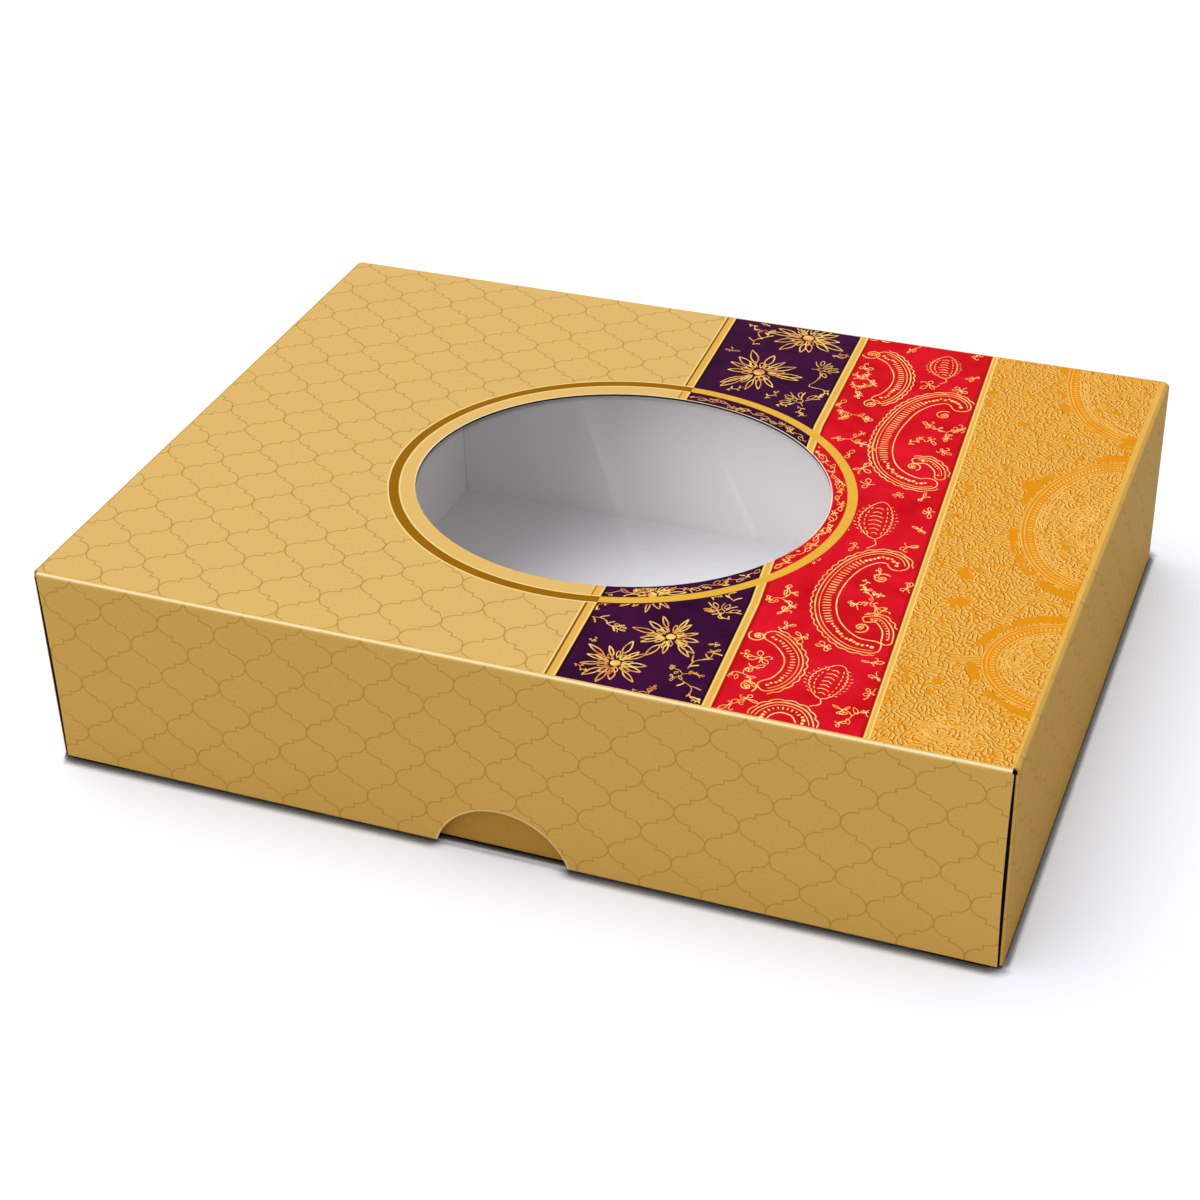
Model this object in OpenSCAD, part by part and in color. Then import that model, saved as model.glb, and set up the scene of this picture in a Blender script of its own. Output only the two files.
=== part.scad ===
// Two-piece sweet box of folding board: a deep lid with an oval film window
// telescopes over a tray of the same height, and a folded insert in the tray
// makes the white well that shows through the window.
// Millimetres. Origin at the middle of the tray's underside, +Z up, +X right, +Y back.

/* [Box] */
// Length of the closed box, left to right
box_w = 254; // [230:1:320]
// Depth of the closed box, front to back
box_d = 192; // [175:1:240]
// Height of the closed box
box_h = 58; // [56:1:90]

/* [Board] */
// Thickness of the lid's board
lid_board = 0.6; // [0.4:0.05:0.8]
// Thickness of the tray's board
tray_board = 0.6; // [0.4:0.05:0.8]
// Outer radius of a fold in the lid and the tray
fold_r = 1.2; // [1:0.1:2]
// Thickness of the glue in a corner joint
glue_t = 0.2; // [0.1:0.05:0.3]

/* [Fit] */
// Play between the inside of the lid and the outside of the tray, each side
play = 1.1; // [0.6:0.1:2]
// Height of the lid's lower edge above the table
lid_lift = 0.5; // [0.3:0.1:3]
// Gap between the tray's upper edge and the underside of the lid
seat_gap = 0.15; // [0.1:0.05:0.5]

/* [Corner joints] */
// Reach of a glued tab behind the long wall
tab_w = 22; // [16:1:30]
// Bevel on the free end of a tab
tab_bevel = 5; // [2:0.5:7]
// Gap between the end of a tab and the crease beside it
tab_relief = 0.6; // [0.3:0.1:2]
// Outer radius of the fold up a corner, from a side wall to its tab
corner_r = 0.8; // [0.7:0.05:1.5]
// Slot between a long wall and the corner fold, at the wall's upper and lower end
slot_end = 0.35; // [0.2:0.05:1]
// The same slot half-way up, where the cut edge bows in
slot_mid = 0.75; // [0.4:0.05:1.5]
// Width of one bead of glue
bead_w = 4; // [2:0.5:6]

/* [Window] */
// Length of the oval window
window_w = 112; // [60:1:124]
// Depth of the oval window
window_d = 98.5; // [50:0.5:104]
// Place of the window's middle in front of (minus) the middle of the lid
window_y = -7; // [-15:0.5:15]
// Thickness of the clear film
film_t = 0.2; // [0.1:0.05:0.3]
// Border of film beyond the window on each side
film_border = 14; // [10:1:18]
// Thickness of the film's glue
film_glue_t = 0.1; // [0.05:0.05:0.2]
// Gap from the window's edge to the film's glue
film_glue_inset = 3; // [1:0.5:4]
// Width of the film's glue line
film_glue_w = 6; // [3:0.5:6]

/* [Thumb notch] */
// Width of the notch at the lid's lower edge
notch_w = 35.5; // [20:0.5:60]
// Height of the notch
notch_h = 13; // [6:0.5:17]

/* [Insert] */
// Length of the well, left to right
well_w = 160; // [120:1:190]
// Depth of the well, front to back
well_d = 131; // [100:1:145]
// Height of the insert's platform above the table
insert_h = 50; // [30:0.5:53]
// Thickness of the insert's board
insert_board = 0.5; // [0.3:0.05:0.8]
// Outer radius of a fold in the insert
insert_fold_r = 1; // [0.9:0.1:2]
// Gap between the insert and the tray's walls
insert_play = 0.3; // [0.2:0.1:1]
// Gap between the insert's legs and the tray's floor
leg_gap = 0.2; // [0.2:0.1:1]
// Gap between neighbouring walls of the well at a corner
well_slit = 0.1; // [0.1:0.1:1]

/* [Hidden] */
$fn = 96;

gold = [0.76, 0.61, 0.32];
dark_gold = [0.62, 0.47, 0.22];
white = [0.95, 0.94, 0.92];
clear = [0.85, 0.9, 0.95, 0.35];
amber = [0.85, 0.75, 0.5];

// A carton is [length, depth, wall height, board]. Both cartons are drawn as
// trays, floor down, and the lid's is then turned over.
lid_size = [box_w, box_d, box_h - lid_lift, lid_board];
lid_inside_w = box_w - 2 * lid_board;
lid_inside_d = box_d - 2 * (2 * lid_board + glue_t);
tray_w = lid_inside_w - 2 * play;
tray_d = lid_inside_d - 2 * play;
tray_h = box_h - lid_board - seat_gap;
tray_size = [tray_w, tray_d, tray_h, tray_board];

insert_w = tray_w - 2 * (tray_board + insert_play);
insert_d = tray_d - 2 * (2 * tray_board + glue_t + insert_play);
insert_flat_z = insert_h - insert_fold_r;

// A thumb notch is a segment of a circle
notch_r = (notch_w * notch_w / 4 + notch_h * notch_h) / (2 * notch_h);
bow_steps = 8;
film_corner_r = 6;
over = 1;

// Quarter-round fold along X, from a floor edge (facing down) to a wall (facing -Y).
// The axis of the bend is the X axis.
module fold(length, board, r) {
    intersection() {
        rotate([0, 90, 0]) difference() {
            cylinder(r = r, h = length, center = true);
            cylinder(r = r - board, h = length + over, center = true);
        }
        translate([-length / 2, -r, -r]) cube([length, r, r]);
    }
}

// Quarter-round fold up a corner, from a side wall (facing +X) to a tab (facing -Y)
module corner_fold(height, board, r) {
    intersection() {
        difference() {
            cylinder(r = r, h = height);
            translate([0, 0, -over]) cylinder(r = r - board, h = height + 2 * over);
        }
        translate([0, -r, 0]) cube([r, r, height]);
    }
}

module at_back() mirror([0, 1, 0]) children();
module at_left() mirror([1, 0, 0]) children();
module turned_over() translate([0, 0, box_h]) mirror([0, 0, 1]) children();

// Flat main panel of a carton, between its four creases
module main_panel(c) {
    translate([-c[0] / 2 + fold_r, -c[1] / 2 + fold_r, 0])
        cube([c[0] - 2 * fold_r, c[1] - 2 * fold_r, c[3]]);
}

// How far a long wall's cut end stands back from the corner fold, at a share s of its height
function slot_at(s) = slot_end + (slot_mid - slot_end) * 4 * s * (1 - s);

// Outline of a long wall: straight at the crease and the free edge, with bowed ends
function long_outline(c) =
    let (half = c[0] / 2 - corner_r, tall = c[2] - fold_r)
    concat(
        [for (i = [0 : bow_steps]) [half - slot_at(i / bow_steps), tall * i / bow_steps]],
        [for (i = [bow_steps : -1 : 0]) [slot_at(i / bow_steps) - half, tall * i / bow_steps]]);

// Front wall of a carton, with its crease, and a thumb notch if asked for
module long_wall(c, notched) {
    crease = c[0] - 2 * (fold_r + slot_end);
    translate([0, -c[1] / 2 + fold_r, fold_r]) fold(crease, c[3], fold_r);
    difference() {
        translate([0, -c[1] / 2 + c[3], fold_r])
            rotate([90, 0, 0]) linear_extrude(c[3]) polygon(long_outline(c));
        if (notched)
            translate([0, -c[1] / 2 - over, c[2] - notch_h + notch_r])
                rotate([-90, 0, 0]) cylinder(r = notch_r, h = c[3] + 2 * over);
    }
}

// Depth from a long wall's face to the face of the tab glued behind it
function tab_depth(c) = c[3] + glue_t;

// Right wall of a carton, with its crease and the folds round both corners
module short_wall(c) {
    reach = c[1] / 2 - tab_depth(c) - corner_r;
    foot = fold_r + tab_relief;
    translate([c[0] / 2 - fold_r, 0, fold_r]) rotate([0, 0, 90]) fold(2 * reach, c[3], fold_r);
    translate([c[0] / 2 - c[3], -reach, fold_r]) cube([c[3], 2 * reach, c[2] - fold_r]);
    for (side = [0, 1]) mirror([0, side, 0])
        translate([c[0] / 2 - corner_r, -reach, foot]) corner_fold(c[2] - foot, c[3], corner_r);
}

// Tab behind the front wall at the right corner, bevelled at its free end
module corner_tab(c) {
    tall = c[2] - fold_r - tab_relief;
    translate([c[0] / 2 - corner_r - tab_w, -c[1] / 2 + tab_depth(c) + c[3], fold_r + tab_relief])
        rotate([90, 0, 0]) linear_extrude(c[3]) polygon([
            [0, tab_bevel], [tab_bevel, 0], [tab_w, 0],
            [tab_w, tall], [tab_bevel, tall], [0, tall - tab_bevel]]);
}

// Two beads of glue between the front wall and the right tab
module tab_glue(c) {
    low = fold_r + tab_relief + tab_bevel + bead_w / 2;
    high = c[2] - tab_bevel - bead_w / 2;
    for (share = [1, 2] / 3)
        translate([c[0] / 2 - corner_r - tab_w * share, -c[1] / 2 + c[3], 0]) {
            for (z = [low, high])
                translate([0, 0, z]) rotate([-90, 0, 0]) cylinder(d = bead_w, h = glue_t);
            translate([-bead_w / 2, 0, low]) cube([bead_w, glue_t, high - low]);
        }
}

module corner_glue(c) {
    for (side = [0, 1], end = [0, 1])
        mirror([side, 0, 0]) mirror([0, end, 0]) tab_glue(c);
}

// Upright oval cylinder around the window's middle, grown by a margin
module oval(margin, low, high) {
    translate([0, window_y, low])
        scale([window_w / 2 + margin, window_d / 2 + margin, 1])
            cylinder(r = 1, h = high - low);
}

module lid_top_panel() color(gold) difference() {
    turned_over() main_panel(lid_size);
    oval(0, box_h - lid_board - over, box_h + over);
}
module lid_front_wall() color(gold) turned_over() long_wall(lid_size, true);
module lid_back_wall() color(gold) at_back() turned_over() long_wall(lid_size, true);
module lid_right_wall() color(gold) turned_over() short_wall(lid_size);
module lid_left_wall() color(gold) at_left() turned_over() short_wall(lid_size);
module lid_front_right_tab() color(dark_gold) turned_over() corner_tab(lid_size);
module lid_front_left_tab() color(dark_gold) at_left() turned_over() corner_tab(lid_size);
module lid_back_right_tab() color(dark_gold) at_back() turned_over() corner_tab(lid_size);
module lid_back_left_tab() color(dark_gold) at_back() at_left() turned_over() corner_tab(lid_size);
module lid_corner_glue() color(amber) turned_over() corner_glue(lid_size);

film_top = box_h - lid_board - film_glue_t;

// Clear film under the window, with rounded corners
module window_film() color(clear) {
    half_w = window_w / 2 + film_border;
    half_d = window_d / 2 + film_border;
    translate([0, window_y, film_top - film_t]) {
        for (x = [-1, 1], y = [-1, 1])
            translate([x * (half_w - film_corner_r), y * (half_d - film_corner_r), 0])
                cylinder(r = film_corner_r, h = film_t);
        translate([-half_w, -half_d + film_corner_r, 0])
            cube([2 * half_w, 2 * (half_d - film_corner_r), film_t]);
        translate([-half_w + film_corner_r, -half_d, 0])
            cube([2 * (half_w - film_corner_r), 2 * half_d, film_t]);
    }
}

module window_glue() color(amber) difference() {
    oval(film_glue_inset + film_glue_w, film_top, film_top + film_glue_t);
    oval(film_glue_inset, film_top - over, film_top + film_glue_t + over);
}

module tray_floor() color(dark_gold) main_panel(tray_size);
module tray_front_wall() color(dark_gold) long_wall(tray_size, false);
module tray_back_wall() color(dark_gold) at_back() long_wall(tray_size, false);
module tray_right_wall() color(dark_gold) short_wall(tray_size);
module tray_left_wall() color(dark_gold) at_left() short_wall(tray_size);
module tray_front_right_tab() color(white) corner_tab(tray_size);
module tray_front_left_tab() color(white) at_left() corner_tab(tray_size);
module tray_back_right_tab() color(white) at_back() corner_tab(tray_size);
module tray_back_left_tab() color(white) at_back() at_left() corner_tab(tray_size);
module tray_corner_glue() color(amber) corner_glue(tray_size);

// Frame round the well, flat between its creases
module insert_platform() color(white)
    translate([0, 0, insert_h - insert_board]) difference() {
        translate([-insert_w / 2 + insert_fold_r, -insert_d / 2 + insert_fold_r, 0])
            cube([insert_w - 2 * insert_fold_r, insert_d - 2 * insert_fold_r, insert_board]);
        translate([-well_w / 2 - insert_fold_r, -well_d / 2 - insert_fold_r, -over])
            cube([well_w + 2 * insert_fold_r, well_d + 2 * insert_fold_r, insert_board + 2 * over]);
    }

// Flap that hangs down from the platform's inner edge at y = 0 and lines the well, which lies towards +Y
module well_flap(length) {
    translate([0, -insert_fold_r, insert_flat_z]) rotate([180, 0, 0])
        fold(length, insert_board, insert_fold_r);
    translate([-length / 2, -insert_board, tray_board])
        cube([length, insert_board, insert_flat_z - tray_board]);
}

// Leg that hangs down from the platform's outer edge at y = 0, with the insert towards +Y
module leg(length) {
    translate([0, insert_fold_r, insert_flat_z]) mirror([0, 0, 1])
        fold(length, insert_board, insert_fold_r);
    translate([-length / 2, 0, tray_board + leg_gap])
        cube([length, insert_board, insert_flat_z - tray_board - leg_gap]);
}

module insert_well_front() color(white)
    translate([0, -well_d / 2, 0]) well_flap(well_w - 2 * well_slit);
module insert_well_back() color(white) at_back()
    translate([0, -well_d / 2, 0]) well_flap(well_w - 2 * well_slit);
module insert_well_right() color(white)
    translate([well_w / 2, 0, 0]) rotate([0, 0, 90]) well_flap(well_d - 2 * well_slit);
module insert_well_left() color(white) at_left()
    translate([well_w / 2, 0, 0]) rotate([0, 0, 90]) well_flap(well_d - 2 * well_slit);
module insert_front_leg() color(white)
    translate([0, -insert_d / 2, 0]) leg(insert_w - 2 * insert_fold_r);
module insert_back_leg() color(white) at_back()
    translate([0, -insert_d / 2, 0]) leg(insert_w - 2 * insert_fold_r);
module insert_right_leg() color(white)
    translate([insert_w / 2, 0, 0]) rotate([0, 0, 90]) leg(insert_d - 2 * insert_fold_r);
module insert_left_leg() color(white) at_left()
    translate([insert_w / 2, 0, 0]) rotate([0, 0, 90]) leg(insert_d - 2 * insert_fold_r);

lid_top_panel();
lid_front_wall();
lid_back_wall();
lid_left_wall();
lid_right_wall();
lid_front_left_tab();
lid_front_right_tab();
lid_back_left_tab();
lid_back_right_tab();
lid_corner_glue();
window_film();
window_glue();
tray_floor();
tray_front_wall();
tray_back_wall();
tray_left_wall();
tray_right_wall();
tray_front_left_tab();
tray_front_right_tab();
tray_back_left_tab();
tray_back_right_tab();
tray_corner_glue();
insert_platform();
insert_well_front();
insert_well_back();
insert_well_left();
insert_well_right();
insert_front_leg();
insert_back_leg();
insert_left_leg();
insert_right_leg();
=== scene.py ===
import math
import random

import bpy
from mathutils import Matrix, Vector


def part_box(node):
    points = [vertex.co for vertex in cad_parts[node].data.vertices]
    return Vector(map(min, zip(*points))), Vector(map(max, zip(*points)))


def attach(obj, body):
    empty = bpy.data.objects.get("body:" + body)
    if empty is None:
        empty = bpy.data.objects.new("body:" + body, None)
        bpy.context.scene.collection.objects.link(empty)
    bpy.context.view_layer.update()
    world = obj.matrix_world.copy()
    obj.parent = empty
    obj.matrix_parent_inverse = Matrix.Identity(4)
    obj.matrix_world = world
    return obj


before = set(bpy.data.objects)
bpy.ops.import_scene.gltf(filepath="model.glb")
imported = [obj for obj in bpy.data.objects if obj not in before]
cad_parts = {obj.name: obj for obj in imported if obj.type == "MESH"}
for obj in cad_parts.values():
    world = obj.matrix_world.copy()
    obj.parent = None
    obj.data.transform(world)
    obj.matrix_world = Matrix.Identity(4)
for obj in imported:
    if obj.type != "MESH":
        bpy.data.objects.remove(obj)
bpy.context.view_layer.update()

# The photographer's camera: right of the box's front, looking down on it, and rolled a little to the left.
# Its place and lens were worked out from the box's seven visible corners. MM turns millimetres, in which
# lengths are given from here on, into metres.
MM = 0.001
CAMERA_AIM = Vector((-18.32, 20.64, 0)) * MM
CAMERA_DISTANCE = 701.7 * MM
CAMERA_AZIMUTH = math.radians(21.861)
CAMERA_ELEVATION = math.radians(33.357)
CAMERA_ROLL = math.radians(-1.645)
CAMERA_LENS = 72.54

towards_camera = Vector((
    math.sin(CAMERA_AZIMUTH) * math.cos(CAMERA_ELEVATION),
    -math.cos(CAMERA_AZIMUTH) * math.cos(CAMERA_ELEVATION),
    math.sin(CAMERA_ELEVATION),
))
level_right = Vector((math.cos(CAMERA_AZIMUTH), math.sin(CAMERA_AZIMUTH), 0))
level_up = towards_camera.cross(level_right)
rolled_right = math.cos(CAMERA_ROLL) * level_right + math.sin(CAMERA_ROLL) * level_up
rolled_up = math.cos(CAMERA_ROLL) * level_up - math.sin(CAMERA_ROLL) * level_right

camera_data = bpy.data.cameras.new("camera")
camera_data.lens = CAMERA_LENS
camera_data.clip_start = 0.01
camera_data.clip_end = 50
camera = bpy.data.objects.new("camera", camera_data)
camera.matrix_world = Matrix.Translation(CAMERA_AIM + towards_camera * CAMERA_DISTANCE) @ Matrix(
    (rolled_right, rolled_up, towards_camera)
).transposed().to_4x4()
bpy.context.scene.collection.objects.link(camera)
bpy.context.scene.camera = camera


# The studio: a white paper floor, a broad soft light overhead, a large lamp high on the left, and a second
# lamp that lights only the white well. What is seen directly or mirrored is plain white. The floor keeps the
# box's shadow. It has a painted contact shade at the foot of the walls, and near the box it is painted a cool
# tint that cancels the gold light the walls throw on it.
FLOOR_HALF = 4000 * MM
FLOOR_DROP = 0.1 * MM
PAPER = 0.7
BOUNCE_CANCEL_TINT = (1.05, 1.12, 1.25, 1)
TINT_REACH = 120.0
FOOTPRINT_HALF = (127.0, 96.0)
CONTACT_FRONT = 4.0
CONTACT_SIDE = 2.4
CONTACT_LEFT = 0.8
CONTACT_POWER = 7.0
CONTACT_LEAN = (0.6, 0.2, 0.8)
CONTACT_SAMPLES = 4
FRONT_OVERLAP = 0.4
FRONT_BLEND = 1.0
LEFT_BLEND = 2.0
SKY_RIM = 0.29
SKY_ZENITH = 1.0
SKY_BRIGHT_SIDE = (-0.6, -0.8, 0)
LAMP_STRENGTH = 0.86
LAMP_SPREAD = math.radians(60)
LAMP_FROM = Vector((-0.28, 0.15, 1.0))
WELL_LAMP_STRENGTH = 5.4
WELL_LAMP_SPREAD = math.radians(75)
WELL_LAMP_FROM = Vector((-0.9, -0.6, 1.0))
WELL_LAMP_COLOUR = (0.95, 0.97, 1.0)


class Wire:
    """A socket in a material. Arithmetic on it adds Math nodes to the same material."""

    def __init__(self, tree, socket=None):
        self.tree = tree
        self.socket = socket

    def add(self, kind, settings=None, inputs=None, out=0):
        """A node of any kind: its settings are made first, then its sockets get values or links."""
        node = self.tree.nodes.new(kind)
        for name, value in (settings or {}).items():
            setattr(node, name, value)
        for name, value in (inputs or {}).items():
            if isinstance(value, Wire):
                self.tree.links.new(value.socket, node.inputs[name])
            else:
                node.inputs[name].default_value = value
        return Wire(self.tree, node.outputs[out] if node.outputs else None)

    def also(self, out):
        """Another output of the node that this wire comes from."""
        return Wire(self.tree, self.socket.node.outputs[out])

    def maths(self, operation, *values, clamp=False):
        inputs = dict(enumerate((self, *values)))
        return self.add("ShaderNodeMath", {"operation": operation, "use_clamp": clamp}, inputs)

    def __add__(self, other):
        return self.maths("ADD", other)

    def __sub__(self, other):
        return self.maths("SUBTRACT", other)

    def __rsub__(self, other):
        return self.add("ShaderNodeMath", {"operation": "SUBTRACT"}, {0: other, 1: self})

    def __mul__(self, other):
        return self.maths("MULTIPLY", other)

    def __truediv__(self, other):
        return self.maths("DIVIDE", other)

    def __neg__(self):
        return self.maths("MULTIPLY", -1)

    def __abs__(self):
        return self.maths("ABSOLUTE")

    def __gt__(self, other):
        return self.maths("GREATER_THAN", other)

    def __lt__(self, other):
        return self.maths("LESS_THAN", other)

    __radd__ = __add__
    __rmul__ = __mul__


def highest(first, *others):
    for other in others:
        first = first.maths("MAXIMUM", other)
    return first


def lowest(first, *others):
    for other in others:
        first = first.maths("MINIMUM", other)
    return first


def new_material(name):
    made = bpy.data.materials.new(name)
    made.use_nodes = True
    made.node_tree.nodes.clear()
    return made, Wire(made.node_tree)


def seen_directly(root):
    """1 for what the camera, a mirror or a clear film shows, and 0 for what only sends light on."""
    camera_ray = root.add("ShaderNodeLightPath", out="Is Camera Ray")
    return highest(camera_ray, camera_ray.also("Is Glossy Ray"), camera_ray.also("Is Transmission Ray"))


def grey(value):
    return (value, value, value, 1)


def mixed(mask, under, over):
    """One colour over another, where the mask is 1."""
    return mask.add("ShaderNodeMix", {"data_type": "RGBA"}, {0: mask, 6: under, 7: over}, 2)


def tinted(colour, shade):
    """A colour made lighter or darker by a shade around 1."""
    colour = colour if isinstance(colour, Wire) else colour[:3]
    return shade.add("ShaderNodeVectorMath", {"operation": "SCALE"}, {0: colour, "Scale": shade})


def millimetres(root):
    """Where a point is on the closed box, in millimetres, as a vector."""
    place = root.add("ShaderNodeTexCoord", out="Object")
    return root.add("ShaderNodeVectorMath", {"operation": "SCALE"}, {0: place, "Scale": 1 / MM})


def split(vector):
    """The x, y and z of a vector."""
    x = vector.add("ShaderNodeSeparateXYZ", inputs={0: vector})
    return x, x.also(1), x.also(2)


def rise(distance, width=0.12):
    """0 before an edge and 1 past it, with a soft step of this width in millimetres."""
    return distance.maths("MULTIPLY_ADD", 1 / width, 0.5, clamp=True)


def make_floor():
    mesh = bpy.data.meshes.new("floor")
    corners = [(-1, -1), (1, -1), (1, 1), (-1, 1)]
    mesh.from_pydata([(x * FLOOR_HALF, y * FLOOR_HALF, -FLOOR_DROP) for x, y in corners], [], [(0, 1, 2, 3)])
    floor = bpy.data.objects.new("floor", mesh)
    bpy.context.scene.collection.objects.link(floor)

    paper, root = new_material("studio_paper")
    x, y = split(millimetres(root))[:2]
    past_side = highest(abs(x) - FOOTPRINT_HALF[0], 0) / TINT_REACH
    past_front = highest(abs(y) - FOOTPRINT_HALF[1], 0) / TINT_REACH
    away = (past_side * past_side + past_front * past_front).maths("SQRT", clamp=True)
    in_front = rise(abs(y) - FOOTPRINT_HALF[1] + FRONT_OVERLAP, FRONT_BLEND)
    clear_of_left = rise(x + FOOTPRINT_HALF[0] - LEFT_BLEND / 2, LEFT_BLEND)
    reach = CONTACT_SIDE - CONTACT_LEFT + in_front * (CONTACT_FRONT - CONTACT_SIDE)
    reach = CONTACT_LEFT + clear_of_left * reach
    inputs = {"Distance": reach * MM, "Normal": CONTACT_LEAN}
    open_sky = root.add("ShaderNodeAmbientOcclusion", {"samples": CONTACT_SAMPLES}, inputs, "AO")
    # Painted shade: a high power of ambient occlusion darkens the paper at the foot of the walls. Near the
    # box the paper is also tinted cool against the gold bounce light.
    painted_contact_shade = open_sky.maths("POWER", CONTACT_POWER)
    seen = tinted(mixed(highest(away, 1 - painted_contact_shade), BOUNCE_CANCEL_TINT, grey(1)), painted_contact_shade)
    colour = mixed(seen_directly(root), grey(PAPER), seen)
    surface = root.add("ShaderNodeBsdfDiffuse", inputs={"Color": colour})
    root.add("ShaderNodeOutputMaterial", inputs={"Surface": surface})
    mesh.materials.append(paper)


def make_sky():
    world = bpy.data.worlds.new("studio")
    world.use_nodes = True
    world.node_tree.nodes.clear()
    sky = Wire(world.node_tree)
    direction = sky.add("ShaderNodeTexCoord", out="Generated")
    inputs = {0: direction, 1: SKY_BRIGHT_SIDE}
    leaning = sky.add("ShaderNodeVectorMath", {"operation": "DOT_PRODUCT"}, inputs, 1)
    overhead = highest(split(direction)[2], 0)
    glow = SKY_RIM * (1 + leaning) + overhead * overhead * SKY_ZENITH
    strength = glow + seen_directly(sky) * (1 - glow)
    light = sky.add("ShaderNodeBackground", inputs={"Color": grey(1), "Strength": strength})
    sky.add("ShaderNodeOutputWorld", inputs={"Surface": light})
    bpy.context.scene.world = world
    bpy.context.scene.view_settings.view_transform = "Standard"


def far_lamp(name, strength, spread, came_from):
    lamp_data = bpy.data.lights.new(name, "SUN")
    lamp_data.energy = strength
    lamp_data.angle = spread
    lamp = bpy.data.objects.new(name, lamp_data)
    lamp.rotation_mode = "QUATERNION"
    lamp.rotation_quaternion = came_from.to_track_quat("Z", "Y")
    bpy.context.scene.collection.objects.link(lamp)
    return lamp


make_floor()
make_sky()
far_lamp("soft_lamp", LAMP_STRENGTH, LAMP_SPREAD, LAMP_FROM)
well_lamp = far_lamp("well_lamp", WELL_LAMP_STRENGTH, WELL_LAMP_SPREAD, WELL_LAMP_FROM)
well_lamp.data.color = WELL_LAMP_COLOUR
lit_by_well_lamp = bpy.data.collections.new("lit_by_well_lamp")
well_lamp.light_linking.receiver_collection = lit_by_well_lamp
for node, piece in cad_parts.items():
    if node.startswith("insert_") or node == "tray_floor":
        lit_by_well_lamp.objects.link(piece)


# The lid's walls: folding carton, printed gold outside with a tonal lattice and left white inside.
# The board is die-cut, creased and folded, so its cut edges show its pale core. The slots at the corners
# are so narrow that their darkness is partly painted shade, on the walls' edges and on the corner folds.
SIDES = {"front": (0, -1, 0), "back": (0, 1, 0), "left": (-1, 0, 0), "right": (1, 0, 0)}
LONG_WALL_GOLD = (220, 175, 91)
# Painted shade: the end walls' gold is a darker copy of the long walls' gold.
SHADED_SIDE_WALL_GOLD = (203, 159, 72)
LATTICE_GOLD = (176, 128, 56)
FOLD_HIGHLIGHT_GOLD = (255, 240, 192)
PAINTED_SLOT_SHADE = (20, 12, 5)
BOARD_WHITE = (212, 211, 214)
BOARD_CORE = (250, 222, 150)
BOARD_ROUGHNESS = 0.55
BOARD_GLOSS = 0.02
WHITE_ROUGHNESS = 0.75
GRAIN_SIZE = 0.4
GRAIN_DEPTH = 0.012
GRAIN_SHADE = 0.5
CLOUD_SIZE = 28.0
CLOUD_SHADE = 0.04
FIBRE_SIZE = 1.4
LATTICE_LINE = 0.34
LATTICE_SOFT = 0.2
LATTICE_DEPTH = 0.01
LOBE_WIDE = 0.47
LOBE_TALL = 0.41
STEP_TALL = 0.09
HALF_PITCH = (8.14, 8.1)
LONG_WALL_ORIGIN = (-59.65, 33.86)
SIDE_WALL_ORIGIN = (0, 33.86)
FRONT_LEAN = -0.045
WANDER_SIZE = (16.0, 11.0)
LONG_WALL_WANDER = 0.6
SIDE_WALL_WANDER = 6.0
SWAY_SIZE = 2.4
SWAY = (0.9, 0.7)
LONG_WALL_PRINT = 0.62
SIDE_WALL_PRINT = 0.8
TURNED_OUT = 0.35
FOLD_FROM = 0.58
FOLD_FROM_SOFT = 0.26
FOLD_TO = 0.93
FOLD_TO_SOFT = 0.1
LONG_WALL_FOLD_HIGHLIGHT = 0.85
SIDE_WALL_FOLD_HIGHLIGHT = 0.1
NOTCH_RADIUS = 18.617
NOTCH_Z = -5.117
NOTCH_RIM = 0.4
NOTCH_RIM_HIGHLIGHT = 0.4
CORNER_FOLD = 94.75
WALL_TALL = 56.8
PANEL_HALF = 125.85
SLOT_BOW = 0.4
LEFT_EDGE_SHADE = 0.42
LEFT_SLOT_SHADE = 126.42
RIGHT_SLOT_SHADE = 126.3


def linear(colour):
    """A colour written as on a colour chart, 0 to 255, as the shader wants it."""
    parts = [c / 255 for c in colour]
    return tuple(c / 12.92 if c <= 0.04045 else ((c + 0.055) / 1.055) ** 2.4 for c in parts) + (1,)


def noise(place, size, detail=2.0, roughness=0.5):
    """Soft random patches of about this size in millimetres, from 0 to 1 with a mean of 0.5."""
    inputs = {"Vector": place, "Scale": 1 / size, "Detail": detail, "Roughness": roughness}
    return place.add("ShaderNodeTexNoise", inputs=inputs)


def paint(root, colour, height, roughness, **plain):
    """The Principled shader of a surface, with its relief in millimetres as a bump."""
    bump = root.add("ShaderNodeBump", inputs={"Height": height, "Distance": MM, "Strength": 1.0})
    inputs = {"Base Color": colour, "Roughness": roughness, "Normal": bump, **plain}
    surface = root.add("ShaderNodeBsdfPrincipled", inputs=inputs)
    root.add("ShaderNodeOutputMaterial", inputs={"Surface": surface})


def lattice(across, up, origin, half_pitch, lean):
    """Distance in millimetres to the nearest line of a half-drop lattice of stepped lobes.
    Two lobes touch at each node, and a short step joins the lobes of neighbouring nodes."""
    half_wide, half_tall = half_pitch
    lobe_wide, lobe_tall = LOBE_WIDE * half_wide, LOBE_TALL * half_tall
    v_from_origin = up - origin[1]
    u = (across - origin[0] + v_from_origin * lean).maths("PINGPONG", half_wide)
    v = v_from_origin.maths("PINGPONG", half_tall)
    past_middle = (u / half_wide + v / half_tall) > 1
    u = u + past_middle * (half_wide - 2 * u)
    v = v + past_middle * (half_tall - 2 * v)
    lobe_u = (u - lobe_wide) / lobe_wide
    lobe_v = v / lobe_tall
    lobe = abs((lobe_u * lobe_u + lobe_v * lobe_v).maths("SQRT") - 1) * ((lobe_wide + lobe_tall) / 2)
    lobe = lobe + (u > lobe_wide) * half_wide
    step = highest(abs(u - half_wide / 2), abs(v - half_tall / 2) - STEP_TALL * half_tall)
    return lowest(lobe, step)


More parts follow.
